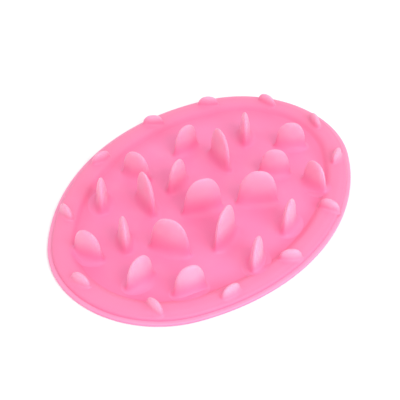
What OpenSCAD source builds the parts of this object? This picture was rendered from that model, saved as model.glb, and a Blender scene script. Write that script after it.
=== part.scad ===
// Oval mat of soft silicone, moulded in one piece: a thin lip, a low rolled rim and a
// flat floor, with upright rounded fins on the floor and smaller ones on the rim.
// Each part of the moulding is a solid of its own, and neighbours meet face to face.
// Origin: centre of the underside. +X runs along the oval, +Z is up. Millimetres.

/* [Mat] */
// Overall length of the oval.
mat_length = 290; // [240:1:360]
// Overall width of the oval.
mat_width = 210; // [170:1:235]
// Thickness of the floor and of the outer lip.
sheet_t = 2.4; // [1.6:0.1:4]

/* [Rim] */
// Width of the flat lip outside the rolled rim.
lip_w = 3; // [2:0.5:8]
// Radius on the lip's upper edge.
lip_round = 1.0; // [0.4:0.1:1.4]
// Width of the whole rim, from the outer edge to the floor.
rim_w = 20; // [14:0.5:28]
// Width of the rim's inner slope.
slope_w = 8; // [4:0.5:10]
// Height of the rolled rim above the table.
rim_h = 6; // [5:0.5:12]
// Radius of the roll on its outer side.
rim_round = 2.8; // [1.5:0.1:3.2]

/* [Floor fins] */
// Width of a medium fin at its foot.
medium_w = 24.5; // [18:0.5:28]
// Height of a medium fin above the floor.
medium_h = 24; // [16:0.5:32]
// Width of a tall fin at its foot.
tall_w = 31; // [24:0.5:36]
// Height of a tall fin above the floor.
tall_h = 31; // [24:0.5:42]
// Thickness of the floor fins.
fin_t = 7; // [4:0.5:9]
// Radius of the flare at a fin's foot.
foot_r = 2.5; // [1:0.5:4]

/* [Rim fins] */
// Width of a rim fin at its foot.
rim_fin_w = 17; // [12:0.5:20]
// Height of a rim fin's top above the floor.
rim_fin_h = 11.5; // [10:0.5:18]
// Thickness of a rim fin.
rim_fin_t = 6; // [3.5:0.5:7]
// Distance from the oval's outer edge to the middle of a rim fin.
rim_fin_inset = 11.5; // [8:0.5:16]

/* [Display] */
// Colour of the silicone.
silicone_colour = [1.0, 0.56, 0.72];
// Part to draw.

/* [Hidden] */
$fn = 96;
half_l = mat_length / 2;
half_w = mat_width / 2;
// The oval is four arcs, two at the ends and two at the sides. Their centres and the points
// where they meet make 3-4-5 triangles, so every arc runs into the next one smoothly.
step = (half_l - half_w) / 2;
end_x = 3 * step;
end_r = half_w - step;
side_y = 4 * step;
side_r = end_r + 5 * step;
join = atan2(4, 3); // direction in which an end arc and a side arc meet
reach = mat_length; // how far the cutting wedges run
toe = 0.3; // thickness left at the edge of a fin's flare
sink = 0.2; // how far the top of that flare lies inside the blade
over = 1;  // how far a cutting solid runs past what it cuts

// ---- outline helpers ----

// The plan area that belongs to one end arc, on the +X side.
module end_area()
  polygon([[end_x, 0], [end_x + 3 * reach / 5, -4 * reach / 5], [end_x + 3 * reach / 5, 4 * reach / 5]]);

// The plan area that belongs to one side arc, on the +Y side.
module side_area()
  polygon([[-end_x, 0], [end_x, 0], [end_x + 3 * reach / 5, 4 * reach / 5],
           [-end_x - 3 * reach / 5, 4 * reach / 5]]);

// Sweeps a profile round the oval. The profile's x is the distance in from the outer
// edge and its y is the height.
module sweep_oval() {
  for (s = [0, 180]) rotate([0, 0, s]) {
    intersection() {
      translate([end_x, 0, 0]) rotate_extrude() translate([end_r, 0]) mirror([1, 0]) children();
      translate([0, 0, -over]) linear_extrude(rim_h + 2 * over) end_area();
    }
    intersection() {
      translate([0, -side_y, 0]) rotate_extrude() translate([side_r, 0]) mirror([1, 0]) children();
      translate([0, 0, -over]) linear_extrude(rim_h + 2 * over) side_area();
    }
  }
}

// The arc of that sweep along the +Y side, and the one round the +X end.
module side_sweep() {
  translate([0, -side_y, 0]) rotate([0, 0, join])
    rotate_extrude(angle = 180 - 2 * join) translate([side_r, 0]) mirror([1, 0]) children();
}

module end_sweep() {
  translate([end_x, 0, 0]) rotate([0, 0, -join])
    rotate_extrude(angle = 2 * join) translate([end_r, 0]) mirror([1, 0]) children();
}

// The oval's plate inside a given distance from the outer edge.
module oval_plate(inset, h) {
  for (s = [0, 180]) rotate([0, 0, s]) {
    linear_extrude(h) intersection() {
      translate([end_x, 0]) circle(end_r - inset);
      end_area();
    }
    linear_extrude(h) intersection() {
      translate([0, -side_y]) circle(side_r - inset);
      side_area();
    }
  }
}

// ---- rim and floor ----

module lip_profile() {
  difference() {
    square([lip_w, sheet_t]);
    difference() {
      translate([-over, sheet_t - lip_round]) square([lip_round + over, lip_round + over]);
      translate([lip_round, sheet_t - lip_round]) circle(lip_round);
    }
  }
}

// The rolled rim: a tight round on the outside, a level crown and an arched inner slope.
module bead_profile() {
  crown_x = lip_w + rim_round;
  slope_x = rim_w - slope_w;
  drop = rim_h - sheet_t;
  slope_r = (slope_w * slope_w + drop * drop) / (2 * drop);
  translate([lip_w, 0]) square([rim_round, rim_h - rim_round]);
  translate([crown_x, rim_h - rim_round]) circle(rim_round);
  translate([crown_x, 0]) square([slope_x - crown_x, rim_h]);
  intersection() {
    translate([slope_x, rim_h - slope_r]) circle(slope_r);
    translate([slope_x, 0]) square([slope_w, rim_h + over]);
  }
}

module base_flange() color(silicone_colour) sweep_oval() lip_profile();

module rim_bead() color(silicone_colour) sweep_oval() bead_profile();

module floor_sheet() color(silicone_colour) oval_plate(rim_w, sheet_t);

// ---- fins ----

// Half of the flare at a fin's foot, as a section across the blade.
module foot_profile(t) {
  difference() {
    square([t / 2 + foot_r, foot_r + sink + toe]);
    translate([t / 2 + foot_r, foot_r + sink + toe]) circle(foot_r + sink);
  }
}

// Half of a flat disc's section, with its edge rounded as far as the radius allows.
module edge_profile(r, t, edge) {
  translate([0, -t / 2]) square([r - edge, t]);
  if (t > 2 * edge) translate([0, edge - t / 2]) square([r, t - 2 * edge]);
  for (s = [-1, 1]) intersection() {
    translate([r - edge, s * (t / 2 - edge)]) circle(edge);
    translate([r - edge, -t]) square([edge + over, 2 * t]);
  }
}

// The blade of a fin standing on z = 0: the upper half of an oval disc. Like the mat's
// outline the oval is made of arcs that meet on 3-4-5 triangles.
module blade(w, h, t) {
  shift = (h - w / 2) / 2;
  tip_z = 3 * shift;
  tip_r = w / 2 - shift;
  edge = min(t / 2, 0.9 * tip_r);
  rotate([90, 0, 0]) {
    intersection() {
      translate([0, tip_z, 0]) rotate_extrude() edge_profile(tip_r, t, edge);
      linear_extrude(2 * t, center = true)
        polygon([[0, tip_z], [4 * h, tip_z + 3 * h], [-4 * h, tip_z + 3 * h]]);
    }
    for (s = [0, 1]) mirror([s, 0, 0]) intersection() {
      translate([-4 * shift, 0, 0]) rotate_extrude() edge_profile(tip_r + 5 * shift, t, edge);
      linear_extrude(2 * t, center = true)
        polygon([[0, 0], [0, tip_z], [4 * h, tip_z + 3 * h], [4 * h, 0]]);
    }
  }
}

// A flare round the foot of a blade.
module foot(w, t) {
  rotate([90, 0, 90]) translate([0, 0, -(w - t) / 2]) linear_extrude(w - t) {
    foot_profile(t);
    mirror([1, 0]) foot_profile(t);
  }
  for (s = [0, 180]) rotate([0, 0, s])
    translate([(w - t) / 2, 0, 0]) rotate([0, 0, -90])
      rotate_extrude(angle = 180) foot_profile(t);
}

// Stands a fin on the mat and lets the rim's bead cut its foot. A fin on the -Y side is
// made on the +Y side and turned half round, as the oval is the same both ways.
module planted(x, y, turn) {
  half = y < 0 ? -1 : 1;
  near_end = half * x < 0 ? 180 : 0;
  color(silicone_colour) rotate([0, 0, 90 - 90 * half]) difference() {
    difference() {
      translate([half * x, half * y, sheet_t]) rotate([0, 0, turn]) children();
      side_sweep() bead_profile();
    }
    rotate([0, 0, near_end]) end_sweep() bead_profile();
  }
}

// A fin on the floor, placed by its share of the floor's half length and half width.
module floor_fin(share_x, share_y, turn, w, h)
  planted(share_x * (half_l - rim_w), share_y * (half_w - rim_w), turn) {
    blade(w, h, fin_t);
    foot(w, fin_t);
  }

module medium_fin(share_x, share_y, turn) floor_fin(share_x, share_y, turn, medium_w, medium_h);

module tall_fin(share_x, share_y, turn) floor_fin(share_x, share_y, turn, tall_w, tall_h);

// A small fin that rides over the rim, placed by its angle round the oval.
module rim_fin(angle, turn)
  planted((half_l - rim_fin_inset) * cos(angle), (half_w - rim_fin_inset) * sin(angle), turn)
    blade(rim_fin_w, rim_fin_h, rim_fin_t);

// Fins on the floor: share of the half length, share of the half width, turn of the blade.
module floor_fin_01() medium_fin(-0.07, 0.70, -87);
module floor_fin_02() medium_fin(0.33, 0.54, -12);
module floor_fin_03() tall_fin(0.35, 0.16, 58);
module floor_fin_04() medium_fin(0.65, 0.16, 35);
module floor_fin_05() medium_fin(0.74, -0.28, -57);
module floor_fin_06() medium_fin(0.44, -0.36, -57);
module floor_fin_07() medium_fin(0.47, -0.77, 70);
module floor_fin_08() medium_fin(0.00, 0.31, 5);
module floor_fin_09() tall_fin(-0.27, 0.38, 58);
module floor_fin_10() medium_fin(-0.41, 0.73, 37);
module floor_fin_11() tall_fin(-0.11, -0.08, -37);
module floor_fin_12() tall_fin(0.14, -0.44, -52);
module floor_fin_13() tall_fin(-0.26, -0.46, 7);
module floor_fin_14() tall_fin(-0.52, -0.14, -77);
module floor_fin_15() medium_fin(0.06, -0.84, 13);
module floor_fin_16() medium_fin(-0.33, -0.85, 19);
module floor_fin_17() medium_fin(-0.62, 0.25, 44);
module floor_fin_18() medium_fin(-0.82, 0.42, -88);
module floor_fin_19() medium_fin(-0.83, -0.14, -11);
module floor_fin_20() medium_fin(-0.73, -0.55, -31);

// Fins on the rim: angle round the oval, then the turn of the blade.
module rim_fin_01() rim_fin(95, -17);
module rim_fin_02() rim_fin(67, -57);
module rim_fin_03() rim_fin(41.5, -57);
module rim_fin_04() rim_fin(13, 82);
module rim_fin_05() rim_fin(-17, 53);
module rim_fin_06() rim_fin(-44, 11);
module rim_fin_07() rim_fin(-73, -84);
module rim_fin_08() rim_fin(-101, -49);
module rim_fin_09() rim_fin(-127, -15);
module rim_fin_10() rim_fin(-156, 74);
module rim_fin_11() rim_fin(167, 85);
module rim_fin_12() rim_fin(126, 67);

floor_sheet();
rim_bead();
base_flange();
floor_fin_01();
floor_fin_02();
floor_fin_03();
floor_fin_04();
floor_fin_05();
floor_fin_06();
floor_fin_07();
floor_fin_08();
floor_fin_09();
floor_fin_10();
floor_fin_11();
floor_fin_12();
floor_fin_13();
floor_fin_14();
floor_fin_15();
floor_fin_16();
floor_fin_17();
floor_fin_18();
floor_fin_19();
floor_fin_20();
rim_fin_01();
rim_fin_02();
rim_fin_03();
rim_fin_04();
rim_fin_05();
rim_fin_06();
rim_fin_07();
rim_fin_08();
rim_fin_09();
rim_fin_10();
rim_fin_11();
rim_fin_12();
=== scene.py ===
"""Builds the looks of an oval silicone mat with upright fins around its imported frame."""

import math

import bpy
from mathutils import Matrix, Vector


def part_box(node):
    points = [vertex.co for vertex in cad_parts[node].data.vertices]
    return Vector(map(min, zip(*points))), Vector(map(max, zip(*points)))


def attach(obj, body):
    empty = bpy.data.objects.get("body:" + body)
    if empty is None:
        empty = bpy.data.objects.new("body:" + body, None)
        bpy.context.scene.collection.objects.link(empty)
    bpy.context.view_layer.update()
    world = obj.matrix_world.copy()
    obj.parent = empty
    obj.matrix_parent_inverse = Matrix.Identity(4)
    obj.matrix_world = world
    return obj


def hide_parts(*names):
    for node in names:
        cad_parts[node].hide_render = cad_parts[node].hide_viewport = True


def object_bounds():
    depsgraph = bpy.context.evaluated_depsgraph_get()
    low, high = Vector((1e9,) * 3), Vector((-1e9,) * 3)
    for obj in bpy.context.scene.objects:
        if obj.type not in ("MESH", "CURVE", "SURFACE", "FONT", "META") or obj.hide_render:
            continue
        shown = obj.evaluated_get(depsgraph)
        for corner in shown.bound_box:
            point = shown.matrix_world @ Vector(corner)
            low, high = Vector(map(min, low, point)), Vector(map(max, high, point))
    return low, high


bl_info = {
    "name": "Oval silicone fin mat",
    "version": (1, 0, 0),
    "blender": (4, 5, 0),
    "location": "3D View > Sidebar > Fin Mat",
    "description": "Models a soft oval silicone mat, its rolled rim and its upright fins",
    "category": "Object",
}

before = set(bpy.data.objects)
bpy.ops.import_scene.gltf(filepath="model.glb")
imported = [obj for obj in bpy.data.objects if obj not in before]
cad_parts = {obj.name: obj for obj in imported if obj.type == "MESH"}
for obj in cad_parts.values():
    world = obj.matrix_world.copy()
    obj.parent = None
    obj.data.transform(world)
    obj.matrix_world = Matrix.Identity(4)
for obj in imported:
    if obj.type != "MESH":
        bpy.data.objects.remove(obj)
CAD_BOX = [list(corner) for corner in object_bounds()]

MM = 0.001
HALF_LENGTH = CAD_BOX[1][0]
HALF_WIDTH = CAD_BOX[1][1]
SHEET_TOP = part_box("floor_sheet")[1][2]
RIM_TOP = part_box("rim_bead")[1][2]
LIP_WIDTH = HALF_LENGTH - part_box("rim_bead")[1][0]
RIM_WIDTH = HALF_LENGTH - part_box("floor_sheet")[1][0]
UP = (0, 0, 1)
BLUNTNESS = 2.4  # how blunt a fin's arched outline is: 2 is a plain ellipse
MERGE_DISTANCE = 0.01 * MM  # vertices nearer to each other than this become one
SLOPE_STEPS = 26  # points on the roll's crown and inner slope
FLARE_LEVELS = 14  # levels up the flare at a fin's foot
ARCH_LEVELS = 20  # levels from there up to its tip
BLADE_VERTICES = 64  # vertices round a blade
RIM_FIN_FLARE = (1.5 * MM, 3 * MM, 4 * MM)  # how far it spreads lengthwise, sideways and up

# The camera's direction from the mat, its distance and how far it is moved sideways and down.
VIEW_AZIMUTH = math.radians(-56.6)
VIEW_ELEVATION = math.radians(41.2)
VIEW_DISTANCE = 0.870
VIEW_LEFT = 3.8 * MM
VIEW_DOWN = 0.7 * MM
LENS = 99.5  # focal length in millimetres, with a sensor 36 mm wide

# Where each floor fin stands, as shares of the floor's half length and half width, and
# the turn of its blade about the vertical, in degrees from the long axis.
MEDIUM_PLACES = {
    "floor_fin_01": (-0.07, 0.70, -87), "floor_fin_02": (0.33, 0.54, -12),
    "floor_fin_04": (0.65, 0.16, 35), "floor_fin_05": (0.74, -0.28, -57),
    "floor_fin_06": (0.44, -0.36, -57), "floor_fin_07": (0.47, -0.77, 70),
    "floor_fin_08": (0.00, 0.31, 5), "floor_fin_10": (-0.41, 0.73, 37),
    "floor_fin_15": (0.06, -0.84, 13), "floor_fin_16": (-0.33, -0.85, 19),
    "floor_fin_17": (-0.62, 0.25, 44), "floor_fin_18": (-0.82, 0.42, -88),
    "floor_fin_19": (-0.83, -0.14, -11), "floor_fin_20": (-0.73, -0.55, -31),
}
TALL_PLACES = {
    "floor_fin_03": (0.35, 0.16, 58), "floor_fin_09": (-0.27, 0.38, 58),
    "floor_fin_11": (-0.11, -0.08, -37), "floor_fin_12": (0.14, -0.44, -52),
    "floor_fin_13": (-0.26, -0.46, 7), "floor_fin_14": (-0.52, -0.14, -77),
}
# Where each rim fin stands round the oval, and the turn of its blade.
RIM_PLACES = {
    "rim_fin_01": (95, -17), "rim_fin_02": (67, -57), "rim_fin_03": (41.5, -57),
    "rim_fin_04": (13, 82), "rim_fin_05": (-17, 53), "rim_fin_06": (-44, 11),
    "rim_fin_07": (-73, -84), "rim_fin_08": (-101, -49), "rim_fin_09": (-127, -15),
    "rim_fin_10": (-156, 74), "rim_fin_11": (167, 85), "rim_fin_12": (126, 67),
}


# ---------------------------------------------------------------- properties

class FinMatSizes(bpy.types.PropertyGroup):
    """Sizes of the parts of the mat."""

    lip_round: bpy.props.FloatProperty(
        name="Lip round", description="Radius on the lip's upper edge",
        default=1.0 * MM, min=0.2 * MM, unit="LENGTH")
    rim_round: bpy.props.FloatProperty(
        name="Rim round", description="Radius of the roll on its outer side",
        default=2.8 * MM, min=1 * MM, unit="LENGTH")
    crest_inset: bpy.props.FloatProperty(
        name="Crest inset", description="Distance from the mat's edge to the roll's highest line",
        default=11 * MM, min=6 * MM, unit="LENGTH")
    crest_rise: bpy.props.FloatProperty(
        name="Crest rise", description="How much the roll's crown swells above its outer round",
        default=0.9 * MM, min=0, unit="LENGTH")
    rim_fade: bpy.props.FloatProperty(
        name="Rim fade", description="How far the rim's slope runs out onto the floor",
        default=2 * MM, min=0.5 * MM, unit="LENGTH")
    medium_width: bpy.props.FloatProperty(
        name="Medium fin width", description="Width of a medium fin's blade",
        default=24.5 * MM, min=8 * MM, unit="LENGTH")
    tall_width: bpy.props.FloatProperty(
        name="Tall fin width", description="Width of a tall fin's blade",
        default=31 * MM, min=8 * MM, unit="LENGTH")
    fin_thickness: bpy.props.FloatProperty(
        name="Fin thickness", description="Thickness of a floor fin at the middle of its blade",
        default=8.5 * MM, min=2 * MM, unit="LENGTH")
    fin_flare: bpy.props.FloatProperty(
        name="Fin flare", description="How far a fin's foot spreads onto the floor",
        default=7 * MM, min=1 * MM, unit="LENGTH")
    fin_sweep: bpy.props.FloatProperty(
        name="Fin sweep", description="How high a fin's flare climbs up its blade",
        default=8 * MM, min=1 * MM, unit="LENGTH")
    rim_fin_width: bpy.props.FloatProperty(
        name="Rim fin width", description="Width of a rim fin's blade",
        default=17.5 * MM, min=6 * MM, unit="LENGTH")
    rim_fin_thickness: bpy.props.FloatProperty(
        name="Rim fin thickness", description="Thickness of a rim fin's blade",
        default=6.5 * MM, min=2 * MM, unit="LENGTH")
    rim_fin_inset: bpy.props.FloatProperty(
        name="Rim fin inset", description="Distance from the mat's edge to a rim fin's middle",
        default=11.5 * MM, min=5 * MM, unit="LENGTH")


class FinMatColours(bpy.types.PropertyGroup):
    """Colours of the silicone and the stage."""

    silicone: bpy.props.FloatVectorProperty(
        name="Silicone",
        description="Colour on the open floor and low on the lip and the floor fins",
        default=(0.88, 0.22, 0.43), min=0, max=1, size=3, subtype="COLOR")
    # Painted shade: a darker colour low on the rim, where shade falls in its folds.
    rim_shade: bpy.props.FloatVectorProperty(
        name="Deep silicone", description="Stronger colour low on the rim, in its folds",
        default=(0.87, 0.18, 0.355), min=0, max=1, size=3, subtype="COLOR")
    # Painted shade: a darker floor where it meets the rim, in the shade of that corner.
    edge: bpy.props.FloatVectorProperty(
        name="Edge silicone", description="Colour of the floor where it meets the rim",
        default=(0.87, 0.18, 0.365), min=0, max=1, size=3, subtype="COLOR")
    # Painted shade: a darker colour low on a floor fin, round its foot.
    foot_shade: bpy.props.FloatVectorProperty(
        name="Fin foot silicone", description="Stronger colour round the foot of a floor fin",
        default=(0.88, 0.205, 0.405), min=0, max=1, size=3, subtype="COLOR")
    crest: bpy.props.FloatVectorProperty(
        name="Crest silicone",
        description="Colour along the top of the rim's roll and low on the rim fins",
        default=(0.88, 0.208, 0.385), min=0, max=1, size=3, subtype="COLOR")
    # Painted glow and highlight: a paler colour up high, standing in for light through and on the
    # thin silicone.
    thin: bpy.props.FloatVectorProperty(
        name="Thin silicone", description="Paler colour where light comes through thin edges",
        default=(0.89, 0.345, 0.52), min=0, max=1, size=3, subtype="COLOR")
    stage: bpy.props.FloatVectorProperty(
        name="Stage", description="Colour of the studio floor under the mat",
        default=(0.93, 0.93, 0.93), min=0, max=1, size=3, subtype="COLOR")


# ---------------------------------------------------------------- modelling helpers

def clear_selection():
    """Leaves edit mode and deselects everything."""
    if bpy.context.object and bpy.context.object.mode != "OBJECT":
        bpy.ops.object.mode_set(mode="OBJECT")
    bpy.ops.object.select_all(action="DESELECT")


def start_piece(name):
    """Names the primitive that was just added and opens it for editing, all selected."""
    piece = bpy.context.object
    piece.name = name
    piece.data.name = name
    bpy.ops.object.mode_set(mode="EDIT")
    bpy.ops.mesh.select_all(action="SELECT")
    return piece


def pick_vertices(piece, test):
    """Selects, in edit mode, the vertices that pass a test of their place."""
    bpy.ops.mesh.select_all(action="DESELECT")
    bpy.ops.object.mode_set(mode="OBJECT")
    for vertex in piece.data.vertices:
        vertex.select = test(vertex.co)
    bpy.ops.object.mode_set(mode="EDIT")


def close_piece(piece, smooth_angle=38):
    """Merges doubles, turns faces outwards, smooths the shading and applies the place."""
    bpy.ops.mesh.select_all(action="SELECT")
    bpy.ops.mesh.remove_doubles(threshold=MERGE_DISTANCE)
    bpy.ops.mesh.normals_make_consistent(inside=False)
    bpy.ops.object.mode_set(mode="OBJECT")
    bpy.ops.object.transform_apply(location=True, rotation=True, scale=True)
    bpy.ops.object.shade_smooth_by_angle(angle=math.radians(smooth_angle))
    piece.select_set(False)


def oval_arcs():
    """The four arcs of the oval from +X round to +X: centre, angle and steps."""
    step = (HALF_LENGTH - HALF_WIDTH) / 2
    join = math.atan2(4, 3)
    end, side = 3 * step, 4 * step
    return [
        ((end, 0, 0), join, 20), ((0, -side, 0), math.pi - 2 * join, 32),
        ((-end, 0, 0), 2 * join, 40), ((0, side, 0), math.pi - 2 * join, 32),
        ((end, 0, 0), join, 20),
    ]


def trace_profile(name, points):
    """Draws a profile at the +X end, one point after another: distance in, height."""
    clear_selection()
    first = (HALF_LENGTH - points[0][0], 0, points[0][1])
    bpy.ops.mesh.primitive_plane_add(size=1 * MM, location=first)
    piece = start_piece(name)
    bpy.ops.mesh.merge(type="CENTER")
    for (inset_a, height_a), (inset_b, height_b) in zip(points, points[1:]):
        move = (inset_a - inset_b, 0, height_b - height_a)
        bpy.ops.mesh.extrude_region_move(TRANSFORM_OT_translate={"value": move})
    return piece


def spin_round_oval():
    """Spins the whole profile round the oval, one arc after another."""
    bpy.ops.mesh.select_all(action="SELECT")
    for centre, angle, steps in oval_arcs():
        bpy.ops.mesh.spin(steps=steps, angle=-angle, center=centre, axis=UP)


def arc_points(centre_x, centre_y, radius, start, stop, count):
    """Points of an arc in a profile; angles in degrees."""
    turns = [math.radians(start + (stop - start) * i / count) for i in range(count + 1)]
    return [(centre_x + radius * math.cos(t), centre_y + radius * math.sin(t)) for t in turns]


# ---------------------------------------------------------------- materials

def add_range(tree, value, start, stop, low=0, high=1, smooth=False):
    """Adds a node that maps a value from one range onto another."""
    node = tree.nodes.new("ShaderNodeMapRange")
    if smooth:
        node.interpolation_type = "SMOOTHSTEP"
    node.inputs["From Min"].default_value = start
    node.inputs["From Max"].default_value = stop
    node.inputs["To Min"].default_value = low
    node.inputs["To Max"].default_value = high
    tree.links.new(value, node.inputs["Value"])
    return node.outputs["Result"]


def add_noise(tree, place, scale, detail):
    """Adds a noise that stays in place on the piece."""
    node = tree.nodes.new("ShaderNodeTexNoise")
    node.inputs["Scale"].default_value = scale
    node.inputs["Detail"].default_value = detail
    tree.links.new(place, node.inputs["Vector"])
    return node.outputs["Fac"]


def add_mix(tree, factor, first, second):
    """Adds a node that mixes a colour, or another mix's result, with a second colour."""
    node = tree.nodes.new("ShaderNodeMix")
    node.data_type = "RGBA"
    tree.links.new(factor, node.inputs[0])
    if isinstance(first, bpy.types.NodeSocket):
        tree.links.new(first, node.inputs[6])
    else:
        node.inputs[6].default_value = (*first, 1)
    node.inputs[7].default_value = (*second, 1)
    return node.outputs[2]


def add_rim_shade_share(tree, place):
    """Adds nodes that give 0 over most of the floor and rise to 1 where it meets the rim: the
    mask of the painted shade there.
    """
    squash = tree.nodes.new("ShaderNodeVectorMath")
    squash.operation = "MULTIPLY"
    squash.inputs[1].default_value = (
        1 / (HALF_LENGTH - RIM_WIDTH), 1 / (HALF_WIDTH - RIM_WIDTH), 0)
    tree.links.new(place, squash.inputs[0])
    out = tree.nodes.new("ShaderNodeVectorMath")
    out.operation = "LENGTH"
    tree.links.new(squash.outputs["Vector"], out.inputs[0])
    return add_range(tree, out.outputs["Value"], 0.80, 1.0, smooth=True)


def silicone_material(name, low, high, bottom, top, edge=None, foot_shade=None):
    """Satin silicone whose colour runs from one height to another and out to an edge; these runs
    are painted light, painted shade and painted glow.

    With a foot colour, a fin starts in the bottom colour, so that it melts into the floor,
    and turns to the foot colour just above, a darker painted shade round the fin's foot.
    """
    material = bpy.data.materials.new(name)
    material.use_nodes = True
    tree = material.node_tree
    shader = tree.nodes["Principled BSDF"]
    shader.inputs["Specular IOR Level"].default_value = 0.35
    shader.inputs["IOR"].default_value = 1.41
    shader.inputs["Subsurface Radius"].default_value = (1.0, 0.35, 0.5)
    shader.inputs["Subsurface Scale"].default_value = 0.004
    shader.inputs["Sheen Weight"].default_value = 0.15
    shader.inputs["Sheen Roughness"].default_value = 0.5

    place = tree.nodes.new("ShaderNodeTexCoord").outputs["Object"]
    split = tree.nodes.new("ShaderNodeSeparateXYZ")
    tree.links.new(place, split.inputs["Vector"])
    height = split.outputs["Z"]

    # Light comes through only where the silicone is high and thin.
    glow = add_range(tree, height, SHEET_TOP + 5 * MM, SHEET_TOP + 14 * MM, high=0.6)
    tree.links.new(glow, shader.inputs["Subsurface Weight"])

    # The change of colour with height, painted shade and painted glow, drifts a little from place
    # to place.
    rise = add_range(tree, height, low, high, smooth=True)
    drift = add_range(tree, add_noise(tree, place, 55, 2), 0.3, 0.7, -0.12, 0.12)
    blend = tree.nodes.new("ShaderNodeMath")
    blend.operation = "ADD"
    blend.use_clamp = True
    tree.links.new(rise, blend.inputs[0])
    tree.links.new(drift, blend.inputs[1])
    # Painted shade round a fin's foot.
    if foot_shade:
        foot = add_range(tree, height, SHEET_TOP, SHEET_TOP + 1.6 * MM)
        bottom = add_mix(tree, foot, bottom, foot_shade)
    colour = add_mix(tree, blend.outputs["Value"], bottom, top)
    # Painted shade where the floor meets the rim.
    if edge:
        colour = add_mix(tree, add_rim_shade_share(tree, place), colour, edge)
    tree.links.new(colour, shader.inputs["Base Color"])

    # A very fine grain in the surface and in its gloss.
    grain = add_noise(tree, place, 900, 3)
    bump = tree.nodes.new("ShaderNodeBump")
    bump.inputs["Strength"].default_value = 0.08
    bump.inputs["Distance"].default_value = 0.1 * MM
    tree.links.new(grain, bump.inputs["Height"])
    tree.links.new(bump.outputs["Normal"], shader.inputs["Normal"])
    gloss = add_range(tree, grain, 0, 1, 0.36, 0.48)
    tree.links.new(gloss, shader.inputs["Roughness"])
    return material


def dress(piece, material, *nodes):
    """Gives a piece its material, hangs it under the root body and hides the parts of the frame
    it stands for.
    """
    piece.data.materials.clear()
    piece.data.materials.append(material)
    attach(piece, "root")
    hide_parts(*nodes)


# ---------------------------------------------------------------- rim and floor

def distance_in(x, y):
    """How far in a plan point lies from the oval's outer edge."""
    step = (HALF_LENGTH - HALF_WIDTH) / 2
    end, side, end_r = 3 * step, 4 * step, HALF_WIDTH - step
    x, y = abs(x), abs(y)
    if (x - end) * 4 > y * 3:
        return end_r - math.hypot(x - end, y)
    return end_r + 5 * step - math.hypot(x, y + side)


def rim_height(inset, sizes):
    """Height of the rolled rim's surface at a distance in from the outer edge."""
    radius, rise, crest_x = sizes.rim_round, sizes.crest_rise, sizes.crest_inset
    crown_x = LIP_WIDTH + radius
    if inset < crown_x:
        out = min(crown_x - inset, radius)
        return RIM_TOP - rise - radius + math.sqrt(radius * radius - out * out)
    if inset < crest_x:
        return RIM_TOP - rise * ((crest_x - inset) / (crest_x - crown_x)) ** 2
    share = min(1, (inset - crest_x) / (RIM_WIDTH + sizes.rim_fade - crest_x))
    fall = math.cos(math.pi / 2 * share ** 2.2) ** 2
    return SHEET_TOP + (RIM_TOP - SHEET_TOP) * fall


class FINMAT_OT_lip(bpy.types.Operator):
    """Spin the thin flat lip round the oval"""

    bl_idname = "finmat.lip"
    bl_label = "Lip"

    def execute(self, context):
        radius = context.scene.fin_mat_sizes.lip_round
        profile = [(LIP_WIDTH, 0), (0.3 * MM, 0), (0, 0.3 * MM)]
        profile += arc_points(radius, SHEET_TOP - radius, radius, 180, 90, 5)
        profile += [(LIP_WIDTH, SHEET_TOP), (LIP_WIDTH, 0)]
        lip = trace_profile("lip", profile)
        spin_round_oval()
        close_piece(lip)
        colours = context.scene.fin_mat_colours
        # The lip pales towards its top, painted glow.
        material = silicone_material(
            "lip silicone", 0, 2 * SHEET_TOP, colours.silicone, colours.thin)
        dress(lip, material, "base_flange")
        return {"FINISHED"}


class FINMAT_OT_rim(bpy.types.Operator):
    """Spin the low rolled rim and its slope round the oval"""

    bl_idname = "finmat.rim"
    bl_label = "Rolled rim"

    def execute(self, context):
        sizes = context.scene.fin_mat_sizes
        end_x = RIM_WIDTH + sizes.rim_fade
        crown_x = LIP_WIDTH + sizes.rim_round
        profile = [(end_x, 0), (LIP_WIDTH, 0), (LIP_WIDTH, SHEET_TOP - 0.4 * MM)]
        round_z = RIM_TOP - sizes.crest_rise - sizes.rim_round
        profile += arc_points(crown_x, round_z, sizes.rim_round, 180, 90, 8)
        for i in range(1, SLOPE_STEPS + 1):
            inset = crown_x + (end_x - crown_x) * i / SLOPE_STEPS
            profile.append((inset, rim_height(inset, sizes)))
        profile.append((end_x, 0))
        rim = trace_profile("rolled_rim", profile)
        spin_round_oval()
        close_piece(rim)
        colours = context.scene.fin_mat_colours
        # The rim is darker low down, painted shade in its folds, and runs up to the crest colour
        # on top.
        material = silicone_material(
            "rim silicone", SHEET_TOP + 0.5 * MM, RIM_TOP - 0.3 * MM, colours.rim_shade, colours.crest)
        dress(rim, material, "rim_bead")
        return {"FINISHED"}


class FINMAT_OT_floor(bpy.types.Operator):
    """Fill the oval inside the rim with the mat's flat floor"""

    bl_idname = "finmat.floor"
    bl_label = "Floor"

    def execute(self, context):
        inset = RIM_WIDTH + context.scene.fin_mat_sizes.rim_fade
        floor = trace_profile("floor", [(inset, 0), (inset, SHEET_TOP)])
        spin_round_oval()
        bpy.ops.mesh.select_all(action="SELECT")
        bpy.ops.mesh.remove_doubles(threshold=MERGE_DISTANCE)
        for height in (0, SHEET_TOP):
            pick_vertices(floor, lambda co: abs(co.z + floor.location.z - height) < 0.1 * MM)
            bpy.ops.mesh.edge_face_add()
        close_piece(floor)
        colours = context.scene.fin_mat_colours
        # The floor turns darker where it meets the rim, painted shade.
        material = silicone_material(
            "floor silicone", SHEET_TOP, 12 * MM, colours.silicone, colours.thin, colours.edge)
        dress(floor, material, "floor_sheet")
        return {"FINISHED"}


# ---------------------------------------------------------------- fins

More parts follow.
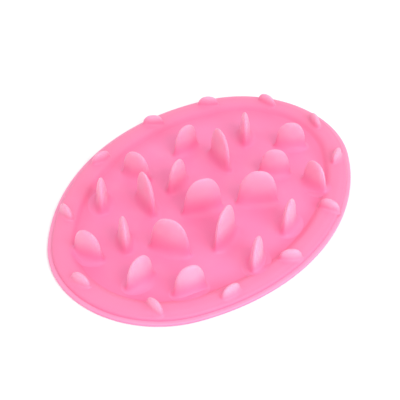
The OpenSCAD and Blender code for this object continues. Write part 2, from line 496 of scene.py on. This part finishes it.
def blade_rings(width, height, thick, flare):
    """Rings of a blade from foot to tip: height, half length and half thickness."""
    out_long, out_wide, up = flare
    levels = [up * (i / FLARE_LEVELS) ** 2.2 for i in range(FLARE_LEVELS + 1)]
    for i in range(1, ARCH_LEVELS):
        levels.append(up + (height - up) * math.sin(math.radians(90 * i / ARCH_LEVELS)))
    rings = []
    for z in levels:
        share = z / height
        rest = (1 - min(1, z / up) ** 0.5) ** 2
        reach = width / 2 * (1 - share ** BLUNTNESS) ** (1 / BLUNTNESS)
        half = thick / 2 * (1 - share ** 3) ** 0.5
        rings.append((z, reach + out_long * rest, half + out_wide * rest))
    return rings


def make_blade(width, height, thick, flare):
    """Models one rounded tongue on the floor plane at the origin."""
    clear_selection()
    rings = blade_rings(width, height, thick, flare)
    bpy.ops.mesh.primitive_circle_add(
        vertices=BLADE_VERTICES, radius=1 * MM, fill_type="NGON", location=(0, 0, SHEET_TOP))
    blade = start_piece("blade")
    z_a, long_a, wide_a = 0, 1 * MM, 1 * MM
    for step, (z_b, long_b, wide_b) in enumerate(rings):
        if step:
            bpy.ops.mesh.extrude_region_move(TRANSFORM_OT_translate={"value": (0, 0, z_b - z_a)})
        bpy.ops.transform.resize(
            value=(long_b / long_a, wide_b / wide_a, 1), center_override=(0, 0, SHEET_TOP + z_b))
        z_a, long_a, wide_a = z_b, long_b, wide_b
    bpy.ops.mesh.extrude_region_move(TRANSFORM_OT_translate={"value": (0, 0, height - z_a)})
    bpy.ops.mesh.merge(type="CENTER")
    close_piece(blade, smooth_angle=60)
    return blade


def place_copy(blade, name, x, y, turn):
    """Copies a blade with its own mesh, turns it and applies its place."""
    clear_selection()
    copy = blade.copy()
    copy.data = blade.data.copy()
    copy.name = copy.data.name = name
    bpy.context.collection.objects.link(copy)
    copy.location = (x, y, 0)
    copy.rotation_euler = (0, 0, math.radians(turn))
    bpy.context.view_layer.objects.active = copy
    copy.select_set(True)
    bpy.ops.object.transform_apply(location=True, rotation=True, scale=True)
    return copy


def settle(fin, height, sizes):
    """Lifts a fin's foot wherever the rim's roll rises under it."""
    for vertex in fin.data.vertices:
        share = min(1, (vertex.co.z - SHEET_TOP) / height)
        lift = rim_height(distance_in(vertex.co.x, vertex.co.y), sizes) - SHEET_TOP
        vertex.co.z += lift * (1 - share) ** 1.5


def plant_fins(prefix, places, width, sizes):
    """Models one blade and plants a copy of it for every fin of its size."""
    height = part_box(next(iter(places)))[1][2] - SHEET_TOP
    flare = (0.5 * sizes.fin_flare, sizes.fin_flare, sizes.fin_sweep)
    blade = make_blade(width, height, sizes.fin_thickness, flare)
    colours = bpy.context.scene.fin_mat_colours
    # A floor fin is darker just above its foot, painted shade, and pales up high, painted glow.
    material = silicone_material(
        prefix + " fin silicone", SHEET_TOP + 1.5 * MM, SHEET_TOP + 0.7 * height,
        colours.silicone, colours.thin, foot_shade=colours.foot_shade)
    for node, (share_x, share_y, turn) in places.items():
        x = share_x * (HALF_LENGTH - RIM_WIDTH)
        y = share_y * (HALF_WIDTH - RIM_WIDTH)
        fin = place_copy(blade, node.replace("floor_fin", prefix + "_fin"), x, y, turn)
        settle(fin, height, sizes)
        dress(fin, material, node)
    bpy.data.objects.remove(blade)


class FINMAT_OT_medium_fins(bpy.types.Operator):
    """Plant the medium fins on the floor"""

    bl_idname = "finmat.medium_fins"
    bl_label = "Medium fins"

    def execute(self, context):
        sizes = context.scene.fin_mat_sizes
        plant_fins("medium", MEDIUM_PLACES, sizes.medium_width, sizes)
        return {"FINISHED"}


class FINMAT_OT_tall_fins(bpy.types.Operator):
    """Plant the tall fins on the floor"""

    bl_idname = "finmat.tall_fins"
    bl_label = "Tall fins"

    def execute(self, context):
        sizes = context.scene.fin_mat_sizes
        plant_fins("tall", TALL_PLACES, sizes.tall_width, sizes)
        return {"FINISHED"}


class FINMAT_OT_rim_fins(bpy.types.Operator):
    """Plant the small fins that ride over the rim's slope"""

    bl_idname = "finmat.rim_fins"
    bl_label = "Rim fins"

    def execute(self, context):
        sizes = context.scene.fin_mat_sizes
        top = max(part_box(node)[1][2] for node in RIM_PLACES)
        height = top - SHEET_TOP
        blade = make_blade(
            sizes.rim_fin_width, height, sizes.rim_fin_thickness, RIM_FIN_FLARE)
        colours = context.scene.fin_mat_colours
        # A rim fin pales up high, painted glow.
        material = silicone_material(
            "rim fin silicone", RIM_TOP - MM, top, colours.crest, colours.thin)
        for node, (angle, turn) in RIM_PLACES.items():
            round_oval = math.radians(angle)
            x = (HALF_LENGTH - sizes.rim_fin_inset) * math.cos(round_oval)
            y = (HALF_WIDTH - sizes.rim_fin_inset) * math.sin(round_oval)
            fin = place_copy(blade, node, x, y, turn)
            settle(fin, height, sizes)
            dress(fin, material, node)
        bpy.data.objects.remove(blade)
        return {"FINISHED"}


# ---------------------------------------------------------------- stage

def add_area(name, size, power, place, aim):
    """Adds a soft area light that looks at a point."""
    clear_selection()
    bpy.ops.object.light_add(type="AREA", location=place)
    light = bpy.context.object
    light.name = name
    light.data.shape = "DISK"
    light.data.size = size
    light.data.energy = power
    light.rotation_euler = (Vector(aim) - Vector(place)).to_track_quat("-Z", "Y").to_euler()


def add_camera(scene, back, right):
    """Adds the camera, which looks at the mat from a direction."""
    above = back.cross(right)
    bpy.ops.object.camera_add(
        location=back * VIEW_DISTANCE - right * VIEW_LEFT - above * VIEW_DOWN)
    camera = bpy.context.object
    camera.rotation_euler = (-back).to_track_quat("-Z", "Y").to_euler()
    camera.data.lens = LENS
    camera.data.sensor_width = 36
    camera.data.clip_start, camera.data.clip_end = 0.05, 50
    scene.camera = camera


def add_studio_floor(colour):
    """Adds the wide pale floor, just under the mat."""
    clear_selection()
    bpy.ops.mesh.primitive_circle_add(
        vertices=96, radius=6, fill_type="NGON", location=(0, 0, -0.1 * MM))
    ground = start_piece("studio_floor")
    bpy.ops.object.mode_set(mode="OBJECT")
    material = bpy.data.materials.new("pale studio floor")
    material.use_nodes = True
    shader = material.node_tree.nodes["Principled BSDF"]
    shader.inputs["Base Color"].default_value = (*colour, 1)
    shader.inputs["Roughness"].default_value = 0.9
    shader.inputs["Specular IOR Level"].default_value = 0.1
    ground.data.materials.append(material)


def light_world(scene):
    """Gives the world a pale light that is brighter from above."""
    world = scene.world or bpy.data.worlds.new("studio")
    scene.world = world
    world.use_nodes = True
    tree = world.node_tree
    place = tree.nodes.new("ShaderNodeTexCoord")
    split = tree.nodes.new("ShaderNodeSeparateXYZ")
    tree.links.new(place.outputs["Generated"], split.inputs["Vector"])
    ramp = tree.nodes.new("ShaderNodeValToRGB")
    ramp.color_ramp.elements[0].color = (0.60, 0.58, 0.60, 1)
    ramp.color_ramp.elements[1].color = (0.95, 0.95, 0.95, 1)
    ramp.color_ramp.elements[1].position = 0.7
    tree.links.new(split.outputs["Z"], ramp.inputs["Fac"])
    sky = tree.nodes["Background"]
    sky.inputs["Strength"].default_value = 1.12
    tree.links.new(ramp.outputs["Color"], sky.inputs["Color"])


class FINMAT_OT_stage(bpy.types.Operator):
    """Set the camera, the pale floor and the soft lights"""

    bl_idname = "finmat.stage"
    bl_label = "Stage"

    def execute(self, context):
        scene = context.scene
        back = Vector((math.sin(VIEW_AZIMUTH) * math.cos(VIEW_ELEVATION),
                       -math.cos(VIEW_AZIMUTH) * math.cos(VIEW_ELEVATION),
                       math.sin(VIEW_ELEVATION)))
        right = Vector((math.cos(VIEW_AZIMUTH), math.sin(VIEW_AZIMUTH), 0))
        toward = Vector((back.x, back.y, 0)).normalized()
        add_camera(scene, back, right)
        add_studio_floor(scene.fin_mat_colours.stage)
        light_world(scene)
        scene.view_settings.view_transform = "Standard"
        middle = (0, 0, 0)
        add_area("key", 1.3, 12, right * 0.9 + toward * 1.0 + Vector((0, 0, 0.85)), middle)
        add_area("front fill", 1.2, 3, toward * 1.3 + Vector((0, 0, 0.9)), middle)
        return {"FINISHED"}


# ---------------------------------------------------------------- panel and registration

PIECE_OPERATORS = (
    FINMAT_OT_lip, FINMAT_OT_rim, FINMAT_OT_floor, FINMAT_OT_medium_fins,
    FINMAT_OT_tall_fins, FINMAT_OT_rim_fins,
)


class FINMAT_PT_sidebar(bpy.types.Panel):
    """Lists the mat's sizes, its parts and the stage"""

    bl_idname = "FINMAT_PT_sidebar"
    bl_label = "Fin Mat"
    bl_space_type = "VIEW_3D"
    bl_region_type = "UI"
    bl_category = "Fin Mat"

    def draw(self, context):
        layout = self.layout
        for group in (context.scene.fin_mat_sizes, context.scene.fin_mat_colours):
            column = layout.column()
            for prop in group.bl_rna.properties:
                if prop.identifier not in {"rna_type", "name"}:
                    column.prop(group, prop.identifier)
        for operator in (*PIECE_OPERATORS, FINMAT_OT_stage):
            layout.operator(operator.bl_idname)


CLASSES = (FinMatSizes, FinMatColours, *PIECE_OPERATORS, FINMAT_OT_stage, FINMAT_PT_sidebar)


def register():
    for cls in CLASSES:
        bpy.utils.register_class(cls)
    bpy.types.Scene.fin_mat_sizes = bpy.props.PointerProperty(type=FinMatSizes)
    bpy.types.Scene.fin_mat_colours = bpy.props.PointerProperty(type=FinMatColours)


def unregister():
    del bpy.types.Scene.fin_mat_colours
    del bpy.types.Scene.fin_mat_sizes
    for cls in reversed(CLASSES):
        bpy.utils.unregister_class(cls)


def main():
    """Builds the stage and every part."""
    register()
    bpy.ops.finmat.stage()
    bpy.ops.finmat.lip()
    bpy.ops.finmat.rim()
    bpy.ops.finmat.floor()
    bpy.ops.finmat.medium_fins()
    bpy.ops.finmat.tall_fins()
    bpy.ops.finmat.rim_fins()
    clear_selection()


if __name__ == "__main__":
    main()
